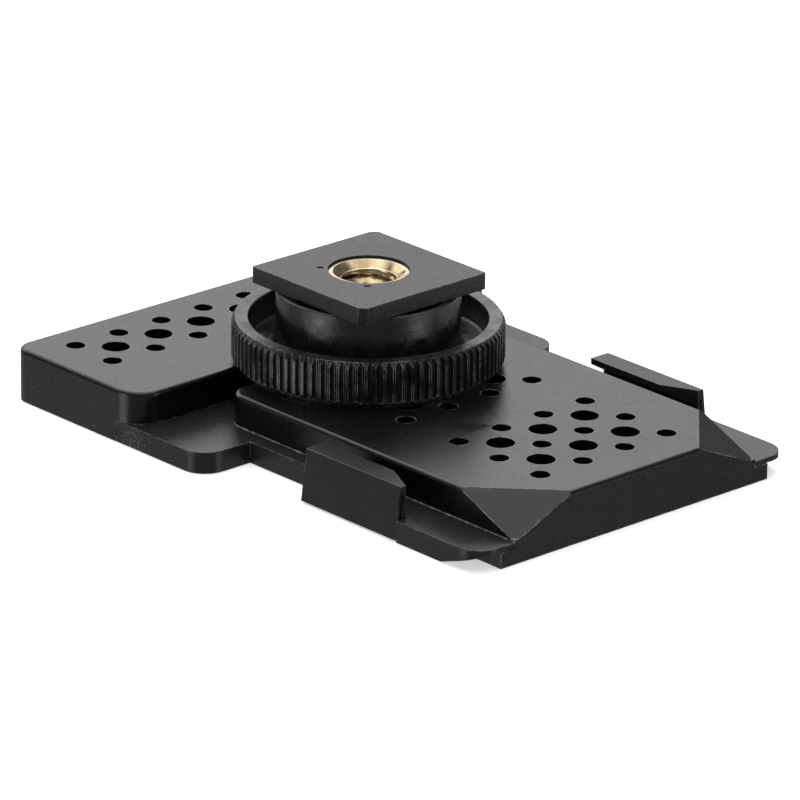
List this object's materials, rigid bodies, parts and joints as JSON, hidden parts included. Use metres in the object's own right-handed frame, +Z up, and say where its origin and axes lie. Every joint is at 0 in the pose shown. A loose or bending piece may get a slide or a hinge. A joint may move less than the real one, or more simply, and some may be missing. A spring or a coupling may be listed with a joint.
{
  "type": "shoe mounting plate",
  "caption": "Flat moulded mounting plate with perforated pads and side snap hooks, and a knurled wheel that raises a square shoe foot with a tripod thread to clamp a camera shoe.",
  "frame": {"origin": "middle of the underside's bounding rectangle, on the surface the plate rests on", "axes": "+X along the plate from the end pad to the tongue's tip, +Y across it, +Z up out of the pads towards the shoe foot"},
  "size_m": [0.0728, 0.0538, 0.0171],
  "materials": {
    "plate_plastic": "fine spark-eroded grain, black",
    "pad_plastic": "fine spark-eroded grain, black, faint flow lines",
    "hook_plastic": "fine grain, black acetal",
    "wheel_plastic": "satin black, knurled edge",
    "washer_plastic": "smooth black",
    "foot_plastic": "fine grain, black",
    "brass": "bright turned",
    "steel": "zinc plated"
  },
  "bodies": {
    "plate": {"base_plate": "plate_plastic", "end_pad": "pad_plastic", "center_pad": "pad_plastic", "thrust_washer": "washer_plastic", "wheel_retaining_ring": "steel", "end_pad_screws": "steel", "center_pad_screws": "steel"},
    "wheel": {"lock_wheel": "wheel_plastic"},
    "foot": {"shoe_foot": "foot_plastic", "threaded_insert": "brass", "stem_stop_washer": "steel", "stem_stop_screw": "steel"},
    "hook_front": {"side_hook_front": "hook_plastic"},
    "hook_back": {"side_hook_back": "hook_plastic"}
  },
  "joints": [
    {"name": "wheel_turn", "type": "hinge", "parent": "plate", "child": "wheel", "pos_m": [-0.00675, 0, 0.00925], "axis": [0, 0, 1], "range_deg": [-600, 0]},
    {"name": "foot_lift", "type": "slide", "parent": "plate", "child": "foot", "axis": [0, 0, 1], "range_m": [0, 0.0025]},
    {"name": "hook_front_flex", "type": "hinge", "parent": "plate", "child": "hook_front", "pos_m": [0.016, -0.02115, 0.0012], "axis": [1, 0, 0], "range_deg": [0, 5], "stiffness_Nm_per_rad": 0.25},
    {"name": "hook_back_flex", "type": "hinge", "parent": "plate", "child": "hook_back", "pos_m": [0.016, 0.02115, 0.0012], "axis": [-1, 0, 0], "range_deg": [0, 5], "stiffness_Nm_per_rad": 0.25}
  ],
  "couplings": [
    {"joint": "wheel_turn", "follows": "foot_lift", "rad_per_m": -4188.8}
  ]
}
